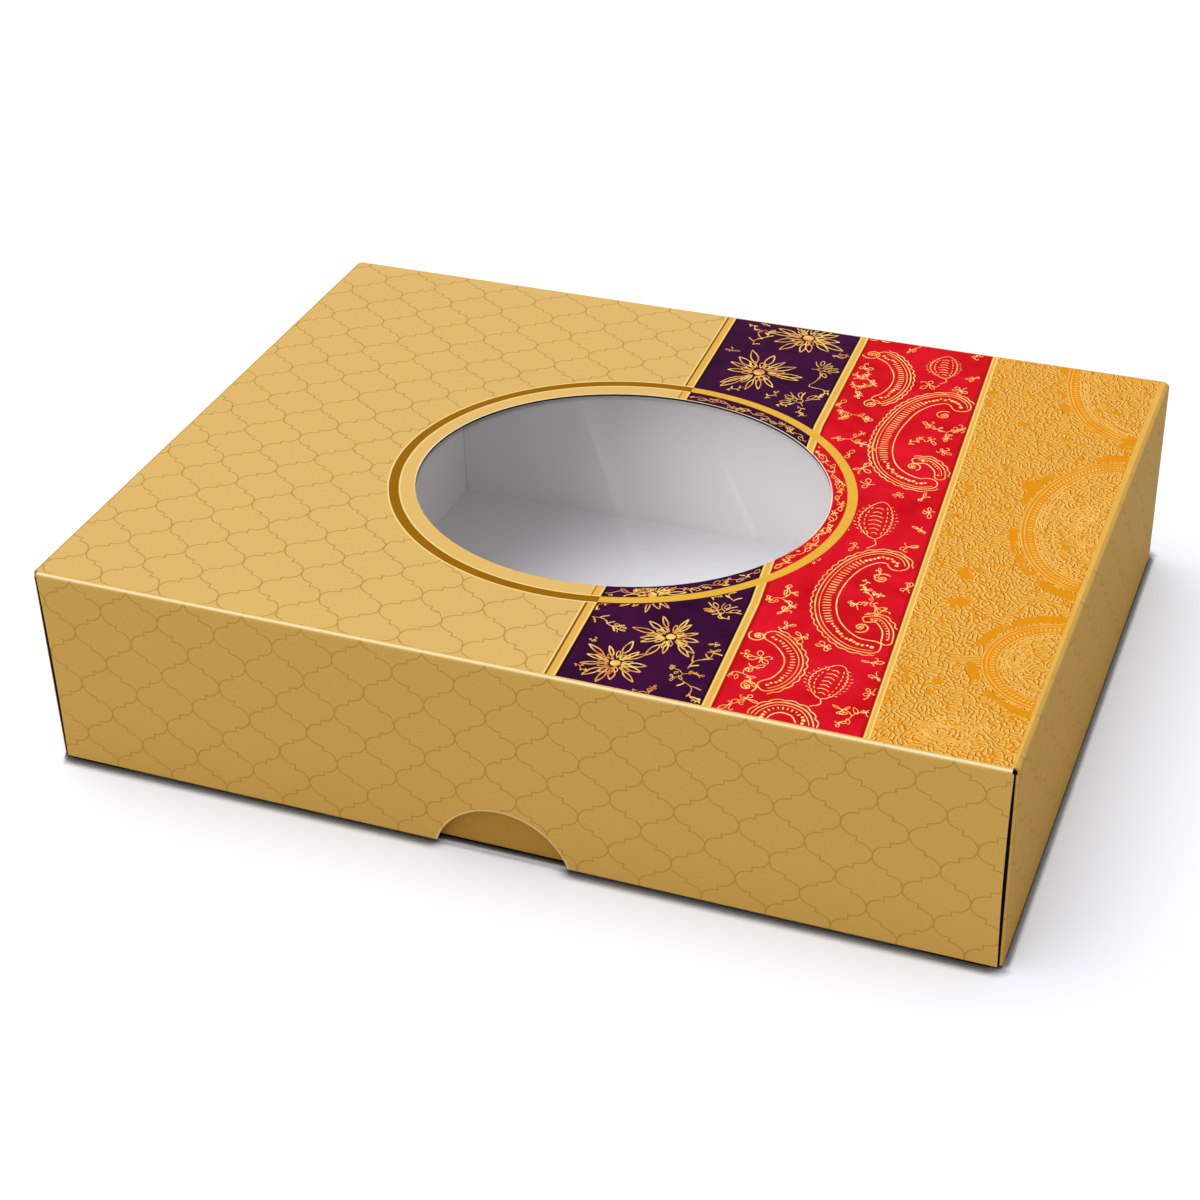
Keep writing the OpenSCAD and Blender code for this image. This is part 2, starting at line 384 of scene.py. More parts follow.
def fine_grain(place):
    """The stipple of the board's surface: its relief in millimetres and its shade around 1."""
    stipple = noise(place, GRAIN_SIZE, 3.0, 0.6)
    cloud = noise(place, CLOUD_SIZE)
    shade = 1 - (GRAIN_SHADE + CLOUD_SHADE) / 2 + stipple * GRAIN_SHADE + cloud * CLOUD_SHADE
    return stipple * GRAIN_DEPTH, shade


def board_faces(root, outward, crease, printed, height, place, roughness=BOARD_ROUGHNESS, core=BOARD_CORE):
    """Paints one wall or panel: printed face outside, white inside, pale core on the cut edges, and a painted
    highlight along a wall's rounded folds.
    The crease is 1 where the wall folds over at its top, as on the lid, and -1 at its foot."""
    nx, ny, nz = split(root.add("ShaderNodeTexCoord", out="Normal"))
    facing = nx * outward[0] + ny * outward[1] + nz * outward[2]
    corner = ny * split(place)[1] / CORNER_FOLD if outward[0] else facing
    outside = highest(facing, nz * crease, corner) > TURNED_OUT
    inside = facing < -TURNED_OUT
    # Painted highlight: the gold turns pale cream along the rounded folds. It is strong on the long walls and
    # faint on the side walls.
    if not outward[2]:
        crest = highest(nz, abs(ny)) if outward[0] else nz
        fold_highlight = rise(crest - FOLD_FROM, FOLD_FROM_SOFT) * rise(FOLD_TO - crest, FOLD_TO_SOFT)
        printed = mixed(fold_highlight * (LONG_WALL_FOLD_HIGHLIGHT if outward[1] else SIDE_WALL_FOLD_HIGHLIGHT), printed, linear(FOLD_HIGHLIGHT_GOLD))
    fibres = noise(place, FIBRE_SIZE, 4.0, 0.6)
    white = tinted(linear(BOARD_WHITE), 0.96 + fibres * 0.06)
    core = tinted(linear(core), 0.9 + fibres * 0.2)
    colour = mixed(outside, mixed(inside, core, white), printed)
    rough = WHITE_ROUGHNESS + outside * (roughness - WHITE_ROUGHNESS)
    paint(root, colour, height, rough, **{"Specular IOR Level": BOARD_GLOSS})


def lid_wall_board(side):
    """The board of a lid wall. The lattice wanders more on the side walls and is printed more strongly."""
    outward = SIDES[side]
    long_wall = outward[1] != 0
    material, root = new_material(f"gold_{side}")
    place = millimetres(root)
    x, y, z = split(place)
    wander = LONG_WALL_WANDER if long_wall else SIDE_WALL_WANDER
    sway = noise(place, SWAY_SIZE) - 0.5
    across = (x if long_wall else y) + (noise(place, WANDER_SIZE[0]) - 0.5) * wander + sway * SWAY[0]
    up = z + (noise(place, WANDER_SIZE[1]) - 0.5) * wander + sway * SWAY[1]
    origin = LONG_WALL_ORIGIN if long_wall else SIDE_WALL_ORIGIN
    distance = lattice(across, up, origin, HALF_PITCH, FRONT_LEAN if side == "front" else 0)
    strength = LONG_WALL_PRINT if long_wall else SIDE_WALL_PRINT
    printed_line = rise(LATTICE_LINE / 2 - distance, LATTICE_SOFT) * strength
    relief, shade = fine_grain(place)
    # The end walls take the darker gold, which is painted shade.
    ground = tinted(linear(LONG_WALL_GOLD if long_wall else SHADED_SIDE_WALL_GOLD), shade)
    printed = mixed(printed_line, ground, linear(LATTICE_GOLD))
    if long_wall:
        # Painted highlight: a thin pale line along the rim of the thumb notch.
        from_notch = (x * x + (z - NOTCH_Z) * (z - NOTCH_Z)).maths("SQRT") - NOTCH_RADIUS
        printed = mixed(rise(NOTCH_RIM - from_notch) * NOTCH_RIM_HIGHLIGHT, printed, linear(FOLD_HIGHLIGHT_GOLD))
        # Painted shade: a near-black strip along the left edge of the front and back panels darkens the
        # corner slot.
        along_slot = z / WALL_TALL
        panel_edge = PANEL_HALF - along_slot * (1 - along_slot) * 4 * SLOT_BOW
        slot_shade = rise(-x - panel_edge + LEFT_EDGE_SHADE)
    else:
        # Painted shade: the side walls' corner folds are near-black beside the slot, farther on the left wall
        # than on the right.
        shade_to = LEFT_SLOT_SHADE if side == "left" else RIGHT_SLOT_SHADE
        slot_shade = rise(abs(y) - CORNER_FOLD) * rise(shade_to - abs(x))
    printed = mixed(slot_shade, printed, linear(PAINTED_SLOT_SHADE))
    board_faces(root, outward, 1, printed, relief - printed_line * LATTICE_DEPTH, place)
    return material


def dress(node, material):
    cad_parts[node].data.materials.clear()
    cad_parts[node].data.materials.append(material)


for side in SIDES:
    dress(f"lid_{side}_wall", lid_wall_board(side))


# The lid's top: the same printed board, with an oval window cut in it and a broad ring printed round it.
# Three cloth-like bands, purple, red and saffron, cross it with gold stripes between them. Each slanted edge
# is given by its x at the lid's back, at its two slight bends and at the front.
HALF_DEPTH = 96.0
BEND_BACK = 40.0
BEND_FRONT = -50.0
RULE = (-4.0, -1.6, 11.0, 13.6)
PURPLE = (-1.6, 0.9, 13.5, 16.1), (36.8, 39.1, 49.8, 52.5)
RED = (39.2, 41.5, 52.1, 54.8), (76.2, 80.4, 87.5, 91.1)
SAFFRON = (77.9, 82.2, 89.2, 92.8), (124.2, 124.3, 124.8, 125.0)
WINDOW_CENTRE = (0.0, -7.0)
WINDOW_HALF = (56.0, 49.25)
# Painted shade: the dark brown of the top panel's cut edges round the window.
WINDOW_CUT_SHADE = (62, 48, 34)
# Painted highlight: a thin pale lip on the face along the window's edge.
WINDOW_LIP_HIGHLIGHT = (255, 244, 214)
LIP_WIDTH = 0.3
LIP_HIGHLIGHT_STRENGTH = 0.8
LIP_FROM_Y = -22.0
LIP_FADE = 14.0
# Painted sheen: the top's gold is paler and a little lighter than the long walls' gold.
SHEENED_TOP_GOLD = (221, 182, 107)
TOP_LATTICE_ORIGIN = (-81.95, -38.11)
TOP_HALF_PITCH = (8.3, 8.85)
TOP_LEAN = 0.115
TOP_PRINT = 0.75
RING_CENTRE = (-0.1, -6.95)
RING_OUTER = (62.9, 56.7)
RING_INNER = (60.25, 54.14)
RING_MARGIN = 0.6
RING_RIM = 0.45
RING_GOLD = (150, 98, 3)
BAND_RING_GOLD = (230, 178, 62)
RIM_GOLD = (250, 222, 150)
RIM_PRINT = 0.8
RULE_WIDTH = 0.55
RULE_GOLD = (128, 76, 8)
WEAVE_SIZE = 5.0
STRIPE_GOLD = (235, 184, 88)
STRIPE_DEEP = (222, 168, 70)
STRIPE_LIGHT = (250, 212, 120)
STRIPE_RIM = 0.4
STRIPE_RIM_OUT = (0.35, 0.3)
DYE_CLOUD = 9.0
PURPLE_DYE = (66, 10, 58)
PURPLE_DARK = (44, 4, 42)
PURPLE_EDGE = (12, 1, 14)
PURPLE_EDGE_WIDTH = 0.55
RED_DYE = (226, 22, 42)
RED_DARK = (196, 6, 18)
RED_EDGE = (176, 10, 14)
RED_EDGE_WIDTH = 0.8
SAFFRON_DYE = (226, 144, 16)
SAFFRON_ARCHES = ((126.0, 13.0), (22.0, 33.0)), ((127.0, -53.5), (18.0, 18.5)), ((124.0, 96.0), (25.0, 40.0))
PLAIN_ROUND_ARCH = (2.2, 2.6)
PLAIN_IN_ARCH = (-1.8, 4.2)
PLAIN_PATCH = 6.0
PLAIN_PATCH_SHARE = 0.33
BROCADE_CELL = {"Scale": 0.3, "Frequency": 1.5, "Anisotropy": 0.0}
BROCADE_SLANT = 0.6
BROCADE_LINE = 0.05
BROCADE_SOFT = 0.07
BROCADE_EDGE = 0.12
BROCADE_RELIEF = 0.08
BROCADE_PRINT = 0.7
BROCADE_THREAD = (236, 178, 70)
BROCADE_HIGHLIGHT = (255, 224, 140)
BROCADE_SHADE = (150, 66, 0)


def line(distance, width):
    """1 on a line of this width and 0 away from it."""
    return rise(width / 2 - abs(distance))


def share(y, low, high):
    """How far y has come from low to high, held between 0 and 1."""
    if isinstance(y, Wire):
        return y.maths("MULTIPLY_ADD", 1 / (high - low), -low / (high - low), clamp=True)
    return min(1.0, max(0.0, (y - low) / (high - low)))


def edge_at(edge, y):
    """The x of a slanted edge at y, for a number or for a wire."""
    back, bend_back, bend_front, front = edge
    x = share(y, -HALF_DEPTH, BEND_FRONT) * (bend_front - front) + front
    x = share(y, BEND_FRONT, BEND_BACK) * (bend_back - bend_front) + x
    return share(y, BEND_BACK, HALF_DEPTH) * (back - bend_back) + x


def oval(x, y, centre, half):
    """Distance in millimetres outside an oval, and negative inside it."""
    u = (x - centre[0]) / half[0]
    v = (y - centre[1]) / half[1]
    return ((u * u + v * v).maths("SQRT") - 1) * ((half[0] + half[1]) / 2)


def dyed(cloud, dark, dye, inside, edge, edge_width, edge_soft):
    """Cloth dyed a little unevenly, and darker along both edges of its band."""
    cloth = mixed(rise(cloud - 0.5, 0.5), linear(dark), linear(dye))
    return mixed(rise(edge_width - inside, edge_soft), cloth, linear(edge))


def brocade_thread(place, shift):
    """1 on the raised threads of the saffron cloth, with the pattern moved a little across and up."""
    offset = (shift, shift * BROCADE_SLANT, 0)
    moved = place.add("ShaderNodeVectorMath", {"operation": "ADD"}, {0: place, 1: offset})
    cell = moved.add("ShaderNodeTexGabor", {"gabor_type": "2D"}, {"Vector": moved, **BROCADE_CELL})
    return rise(abs(cell - 0.5) - BROCADE_LINE, BROCADE_SOFT)


def brocade(place, x, y, shade):
    """The saffron cloth's colour and its raised threads: close brocade, left plain in arches and patches.
    Each thread is painted lighter on one side and darker on the other, as painted highlight and painted
    shade.
    """
    arch = lowest(*[oval(x, y, centre, half) for centre, half in SAFFRON_ARCHES])
    out, width = PLAIN_ROUND_ARCH
    plain = line(arch - out, width) * rise(noise(place, DYE_CLOUD) - 0.5, 0.05)
    out, width = PLAIN_IN_ARCH
    plain = highest(plain, line(arch - out, width), rise(PLAIN_PATCH_SHARE - noise(place, PLAIN_PATCH), 0.03))
    thread, lit_edge, far_edge = [brocade_thread(place, shift) for shift in (0, -BROCADE_EDGE, BROCADE_EDGE)]
    thread = thread * (1 - plain)
    # Painted highlight and painted shade: two shifted copies of the threads, taken one from the other, light
    # one side of each thread and darken the other.
    edge = (lit_edge - far_edge) * (1 - plain)
    colour = mixed(thread * BROCADE_PRINT, tinted(linear(SAFFRON_DYE), shade), linear(BROCADE_THREAD))
    colour = mixed(edge.maths("MULTIPLY", 1, clamp=True), colour, linear(BROCADE_HIGHLIGHT))
    return mixed(edge.maths("MULTIPLY", -1, clamp=True), colour, linear(BROCADE_SHADE)), thread


def top_board():
    material, root = new_material("gold_top")
    place = millimetres(root)
    x, y = split(place)[:2]
    relief, shade = fine_grain(place)
    sway = noise(place, SWAY_SIZE) - 0.5
    distance = lattice(x + sway * SWAY[0], y + sway * SWAY[1], TOP_LATTICE_ORIGIN, TOP_HALF_PITCH, TOP_LEAN)
    outside_ring = oval(x, y, RING_CENTRE, RING_OUTER)
    inside_ring = oval(x, y, RING_CENTRE, RING_INNER)
    clear_of_ring = rise(outside_ring - RING_MARGIN)
    lattice_line = rise(LATTICE_LINE / 2 - distance, LATTICE_SOFT) * clear_of_ring * TOP_PRINT
    # The top's ground gold carries a painted sheen.
    printed = mixed(lattice_line, tinted(linear(SHEENED_TOP_GOLD), shade), linear(LATTICE_GOLD))

    past_rule = x - edge_at(RULE, y)
    weave = noise(place, WEAVE_SIZE, 3.0)
    printed = mixed(rise(past_rule), printed, mixed(weave, linear(STRIPE_DEEP), linear(STRIPE_GOLD)))
    printed = mixed(line(past_rule, RULE_WIDTH), printed, linear(RULE_GOLD))
    printed = mixed(line(past_rule + RULE_WIDTH, STRIPE_RIM) * RIM_PRINT, printed, linear(RIM_GOLD))
    for left_edge in (PURPLE[0], RED[0], SAFFRON[0]):
        rim = line(edge_at(left_edge, y) - STRIPE_RIM_OUT[0] - x, STRIPE_RIM)
        printed = mixed(rim, printed, linear(STRIPE_LIGHT))
    for right_edge in (PURPLE[1], RED[1]):
        rim = line(x - STRIPE_RIM_OUT[1] - edge_at(right_edge, y), STRIPE_RIM)
        printed = mixed(rim, printed, linear(STRIPE_LIGHT))

    in_purple, in_red, in_saffron = [
        lowest(x - edge_at(left_edge, y), edge_at(right_edge, y) - x)
        for left_edge, right_edge in (PURPLE, RED, SAFFRON)
    ]
    cloud = noise(place, DYE_CLOUD)
    purple = dyed(cloud, PURPLE_DARK, PURPLE_DYE, in_purple, PURPLE_EDGE, PURPLE_EDGE_WIDTH, 0.4)
    red = dyed(cloud, RED_DARK, RED_DYE, in_red, RED_EDGE, RED_EDGE_WIDTH, 0.8)
    saffron, thread = brocade(place, x, y, shade)
    for inside, cloth in ((in_purple, purple), (in_red, red), (in_saffron, saffron)):
        printed = mixed(rise(inside), printed, cloth)

    on_bands = rise(x - edge_at(PURPLE[0], y))
    outer_rim = line(outside_ring - RING_RIM / 2, RING_RIM)
    ring_rim = highest(outer_rim, line(inside_ring + RING_RIM / 2, RING_RIM))
    oval_border = tinted(linear(SHEENED_TOP_GOLD), 1.03 + weave * 0.04)
    printed = mixed(rise(-inside_ring) * rise(-past_rule), printed, oval_border)
    printed = mixed(ring_rim * (1 - on_bands) * RIM_PRINT, printed, linear(RIM_GOLD))
    plain_ring = tinted(linear(RING_GOLD), 0.9 + weave * 0.25)
    band_ring = tinted(linear(BAND_RING_GOLD), 0.9 + weave * 0.2)
    in_ring = lowest(rise(-outside_ring), rise(inside_ring))
    printed = mixed(in_ring, printed, mixed(on_bands, plain_ring, band_ring))
    from_window = oval(x, y, WINDOW_CENTRE, WINDOW_HALF)
    # Painted highlight: a pale line on the face beside the window, fading out towards the front.
    lip_highlight = rise(LIP_WIDTH - from_window, 0.2) * rise(y - LIP_FROM_Y, LIP_FADE) * LIP_HIGHLIGHT_STRENGTH
    printed = mixed(lip_highlight, printed, linear(WINDOW_LIP_HIGHLIGHT))

    height = relief - lattice_line * LATTICE_DEPTH + thread * rise(in_saffron) * BROCADE_RELIEF
    # The top panel's cut edges take the dark brown painted shade in place of the pale core.
    board_faces(root, (0, 0, 1), 1, printed, height, place, core=WINDOW_CUT_SHADE)
    return material


dress("lid_top_panel", top_board())


# The gold foil: fine strokes stamped on the three bands, a hair's breadth proud of the board.
# Daisies and sprigs lie on the purple, paisleys and small blooms on the red, larger arches on the saffron.
# A stroke is its points and its width. Other plain numbers in a motif are parts of its own size.
TOP_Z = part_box("lid_top_panel")[1].z / MM
FOIL_RISE = 0.06
FOIL_SUNK = 0.02
STROKE_STEP = 0.4
STROKE_TIP = 0.45
FINE_STROKE = 0.72
DOME_SIDES = 14
DOME_FLAT = 0.6
BAND_MARGIN = 0.4
FOLD_MARGIN = 94.7
RING_CLEARANCE = 0.005
WINDOW_CLEARANCE = 0.012
VINE_HALF = (58.1, 51.7)
VINE = (-92, 92, 6)
FOIL_GRAIN = 0.25
FOIL_ROUGHNESS = 0.38
FOIL_GLOSS = 0.15
PURPLE_FOIL = (255, 212, 102), (218, 132, 54), 2.6
RED_FOIL = (255, 232, 144), (255, 180, 84), 4.0
SAFFRON_FOIL = (246, 198, 104), (234, 170, 66), 4.0
pen = random.Random(7)


def evenly(points):
    """The points of a stroke, taken again at even steps."""
    spaced = [points[0]]
    left_over = 0.0
    for (ax, ay), (bx, by) in zip(points, points[1:]):
        length = math.hypot(bx - ax, by - ay)
        travelled = STROKE_STEP - left_over
        while travelled < length:
            part = travelled / length
            spaced.append((ax + (bx - ax) * part, ay + (by - ay) * part))
            travelled += STROKE_STEP
        left_over = length - (travelled - STROKE_STEP)
    spaced.append(points[-1])
    return spaced


def smooth_line(points, steps=6):
    """A rounded line through a few given points."""
    def between(p, q, r, s, t):
        bend = (2 * p - 5 * q + 4 * r - s) * t * t
        return 0.5 * (2 * q + (r - p) * t + bend + (3 * q - p - 3 * r + s) * t ** 3)

    ends = [points[0]] + list(points) + [points[-1]]
    rounded = []
    for a, b, c, d in zip(ends, ends[1:], ends[2:], ends[3:]):
        for i in range(steps):
            rounded.append(tuple(between(p, q, r, s, i / steps) for p, q, r, s in zip(a, b, c, d)))
    return rounded + [points[-1]]


def placed(strokes, x, y, turn=0.0, size=1.0):
    """A motif's strokes, drawn about (0, 0), set down at x, y, turned by degrees and scaled."""
    c, s = math.cos(math.radians(turn)) * size, math.sin(math.radians(turn)) * size
    return [
        ([(x + px * c - py * s, y + px * s + py * c) for px, py in points], width)
        for points, width in strokes
    ]


def leaf(length, width, start=0.0, widest=0.5):
    """The closed outline of a pointed leaf along +x."""
    power = math.log(0.5) / math.log(widest)
    side = [(start + length * i / 8, width / 2 * math.sin(math.pi * (i / 8) ** power)) for i in range(9)]
    return side + [(x, -y) for x, y in reversed(side[:-1])]


def daisy(radius, petals=13):
    """A large flower head: an outer ring of pointed petals on stalks and an inner ring of small ones."""
    strokes = [([(0, 0)], 0.3 * radius)]
    for i in range(petals):
        turn = 360 * i / petals + pen.uniform(-10, 10)
        reach = radius * pen.uniform(0.74, 1.16)
        petal = [
            (leaf(reach * 0.58, radius * pen.uniform(0.1, 0.19), reach * 0.42, 0.42), 0.7),
            ([(reach * 0.22, 0), (reach * 0.34, pen.uniform(-0.3, 0.3)), (reach * 0.47, 0)], 0.62),
        ]
        inner = [(leaf(reach * pen.uniform(0.28, 0.4), radius * 0.1, reach * 0.2, 0.6), 0.56)]
        strokes += placed(petal, 0, 0, turn) + placed(inner, 0, 0, turn + 180 / petals)
    return strokes


def bloom(radius, petals=5):
    """A small flower of uneven petals, some of them only a hooked stroke."""
    strokes = [([(0, 0)], 0.4 * radius)]
    for i in range(petals):
        reach = radius * pen.uniform(0.6, 1.5)
        bend = reach * pen.uniform(-0.5, 0.5)
        if i % 2:
            hook = [(radius * 0.2, 0), (reach * 0.6, bend), (reach, bend * 0.4), (reach * 0.8, 0)]
            outline = smooth_line(hook, 4)
        else:
            outline = leaf(reach, radius * pen.uniform(0.3, 0.7), radius * 0.15, 0.6)
        strokes += placed([(outline, 0.42)], 0, 0, 360 * i / petals + pen.uniform(-35, 35))
    return strokes


def posy(size):
    """Three small blooms and three leaves on crooked stalks that spring from one point."""
    strokes = []
    for i in range(3):
        reach = size * pen.uniform(0.4, 0.75)
        stalk = smooth_line([(0, 0), (reach * 0.5, pen.uniform(-1.2, 1.2)), (reach, pen.uniform(-0.6, 0.6))])
        flower = placed(bloom(size * pen.uniform(0.16, 0.3), pen.choice((3, 4, 5))), reach, 0)
        blade = [(leaf(size * pen.uniform(0.2, 0.4), size * 0.13), 0.4)]
        blade = placed(blade, reach * 0.4, 0, pen.uniform(30, 90))
        strokes += placed([(stalk, 0.4)] + flower + blade, 0, 0, 120 * i + pen.uniform(-40, 40))
    return strokes


def sprig(length, leaves=6):
    """A bent twig along +x with a pointed leaflet on alternate sides and a bud at its tip."""
    spine = [(0, 0), (length * 0.35, length * 0.12), (length * 0.7, -length * 0.04), (length, length * 0.1)]
    spine = smooth_line(spine)
    strokes = [(spine, 0.46)]
    for i in range(leaves):
        x, y = spine[int((i + 0.6) / leaves * (len(spine) - 1))]
        side = 1 if i % 2 else -1
        blade = [([(0, 0), (length * 0.1, 0.2), (length * pen.uniform(0.2, 0.32), 0)], 0.8)]
        strokes += placed(blade, x, y, side * pen.uniform(30, 75))
    return strokes + placed(bloom(length * 0.15, 4), *spine[-1])


def thistle(radius):
    """A ragged flower head seen from the side: a fan of split petals over a small cup."""
    cup = leaf(radius * 0.5, radius * 0.36, -radius * 0.2)
    strokes = [(cup, 0.5), ([(0, 0), (-radius * 0.5, 0.4)], 0.5)]
    for i in range(9):
        turn = -95 + 190 * i / 8 + pen.uniform(-8, 8)
        tip = radius * pen.uniform(0.8, 1.15)
        if i % 2:
            ray = [(leaf(tip * 0.6, radius * 0.24, tip * 0.4), 0.5)]
        else:
            ray = [([(radius * 0.25, 0), (tip * 0.6, 0.35), (tip, 0)], 0.62)]
        strokes += placed(ray, 0, 0, turn)
    return strokes


def paisley(spine, width, side):
    """A paisley along a bent spine, round at both ends: outline, inner line, comb of bars and scalloped edge.
    The scallops lie left of the spine's direction for side 1 and right of it for side -1."""
    path = evenly(smooth_line(spine, 12))
    last = len(path) - 1

    def off(i, out):
        (ax, ay), (bx, by) = path[max(i - 1, 0)], path[min(i + 1, last)]
        scale = side * out / math.hypot(bx - ax, by - ay)
        return path[i][0] - (by - ay) * scale, path[i][1] + (bx - ax) * scale

    def half(i):
        from_end = min(1.0, min(i, last - i) * STROKE_STEP * 2 / width)
        return width / 2 * math.sqrt(1 - (1 - from_end) ** 2)

    def scallop(i):
        return off(i, half(i) + 0.7 + 0.5 * abs(math.sin(math.pi * i * STROKE_STEP / 2.4)))

    outline = [off(i, half(i)) for i in range(last + 1)] + [off(i, -half(i)) for i in range(last, -1, -1)]
    strokes = [
        (outline, 0.62),
        ([scallop(i) for i in range(3, last - 2)], 0.56),
        ([off(i, half(i) - 1.0) for i in range(5, last - 4)], 0.4),
    ]
    for i in range(6, last - 5, 3):
        if 0.22 < i / last < 0.72:
            foot = -half(i) + pen.uniform(1.1, 1.5)
            strokes.append(([off(i, foot), off(i, half(i) - 1.8)], 0.66))
        else:
            strokes.append(([off(i, pen.uniform(-0.7, 0.1))], pen.uniform(0.8, 1.2)))
    return strokes


def curl(radius, turns=1.1):
    """A hooked paisley head that winds inwards round a small leaf."""
    points = []
    for i in range(25):
        angle = math.radians(360 * turns * i / 24)
        reach = radius * (1 - 0.66 * i / 24)
        points.append((reach * math.cos(angle), reach * math.sin(angle)))
    return [(points, 0.6), (leaf(radius * 0.9, radius * 0.5, -radius * 0.45), 0.55), ([(0, 0)], 0.3 * radius)]


def shell(length, width):
    """A closed flower bud: a scalloped oval with bent bars across it, ribs, a fringe and a hooked tail."""
    def rim(t, out):
        swell = max(0.0, math.sin(math.pi * t)) ** 0.6
        return length * t, width * (0.5 * swell * out + 0.1 * math.sin(math.pi * t))

    edge = [i / 44 for i in range(45)]
    wave = [0.9 + 0.14 * abs(math.sin(math.pi * t * 11)) for t in edge]
    outline = [rim(t, out) for t, out in zip(edge, wave)]
    outline += [rim(t, -out) for t, out in zip(reversed(edge), reversed(wave))]
    strokes = [(outline, 0.46)]
    for i in range(7):
        t = 0.12 + 0.11 * i
        for out in (0.66, -0.66):
            strokes.append(([rim(t, out), rim(t + pen.uniform(0.05, 0.08), out)], 0.5))
        tip = pen.uniform(0.3, 0.45)
        strokes.append((smooth_line([rim(t, -tip), rim(t + 0.05, 0), rim(t + 0.02, tip)], 4), 0.46))
    for i in range(9):
        t = 0.14 + 0.09 * i
        for out in (1.16, -1.16):
            strokes.append(([rim(t, out), rim(t + 0.02, out * pen.uniform(1.08, 1.2))], 0.46))
    tail = smooth_line([(0, 0), (-length * 0.14, -width * 0.08), (-length * 0.26, width * 0.16)])
    return strokes + [(tail, 0.46)]


def vine(first, last, step):
    """A wavy stem with small blooms and leaves, along the gap between the window and the ring."""
    def at(angle, out):
        x = WINDOW_CENTRE[0] + (VINE_HALF[0] + out) * math.cos(math.radians(angle))
        return x, WINDOW_CENTRE[1] + (VINE_HALF[1] + out) * math.sin(math.radians(angle))

    strokes = [([at(angle, 0.7 * math.sin(angle * 0.9)) for angle in range(first, last)], 0.36)]
    for i, angle in enumerate(range(first, last, step)):
        side = 1 if i % 2 else -1
        twig = bloom(pen.uniform(1.1, 1.6), 4) if i % 3 else sprig(4.2, 4)
        strokes += placed(twig, *at(angle, 0.8 * side), pen.uniform(0, 360))
        blade = [(leaf(2.6, 1.1, -1.3), 0.4)]
        strokes += placed(blade, *at(angle + step / 2, -0.6 * side), angle + pen.uniform(40, 140))
    return strokes


def arches(half, start, sweep, rows):
    """Rows of outlines round part of an oval, each row set in from the last, with bars in the first."""
    def at(part, out):
        angle = math.radians(start + sweep * part)
        return (half[0] + out) * math.cos(angle), (half[1] + out) * math.sin(angle)

    length = abs(math.radians(sweep)) * (half[0] + half[1]) / 2
    strokes = []
    for row in range(rows):
        depth = -row * 4.6
        for line_depth in (depth, depth - 1.0, depth - 3.6):
            strokes.append(([at(i / 50, line_depth) for i in range(51)], 0.38))
        for i in range(0 if row else int(length / 1.25)):
            part = i * 1.25 / length
            strokes.append(([at(part, depth - 1.7), at(part + 0.006, depth - 2.9)], 0.56))
    return strokes


def clear_of_ovals(x, y):
    """Whether a point is off the printed ring and off the window."""
    def reach(centre, half):
        return math.hypot((x - centre[0]) / half[0], (y - centre[1]) / half[1])

    past_inner = reach(RING_CENTRE, RING_INNER) > 1 - RING_CLEARANCE
    on_ring = past_inner and reach(RING_CENTRE, RING_OUTER) < 1 + RING_CLEARANCE
    return not on_ring and reach(WINDOW_CENTRE, WINDOW_HALF) > 1 + WINDOW_CLEARANCE


def within(band, x, y):
    inside = edge_at(band[0], y) + BAND_MARGIN < x < edge_at(band[1], y) - BAND_MARGIN
    return inside and abs(y) < FOLD_MARGIN and clear_of_ovals(x, y)


def foil(name, light, deep, patch):
    """Foil that runs from a light to a deep gold in soft patches, with a fine brushed grain."""
    material, root = new_material(name)
    place = millimetres(root)
    tone = rise(noise(place, patch) - 0.48, 0.25)
    grain = noise(place, FOIL_GRAIN)
    colour = tinted(mixed(tone, linear(deep), linear(light)), 0.9 + grain * 0.2)
    paint(root, colour, grain * 0.01, FOIL_ROUGHNESS + grain * 0.1, **{"Specular IOR Level": FOIL_GLOSS})
    return material


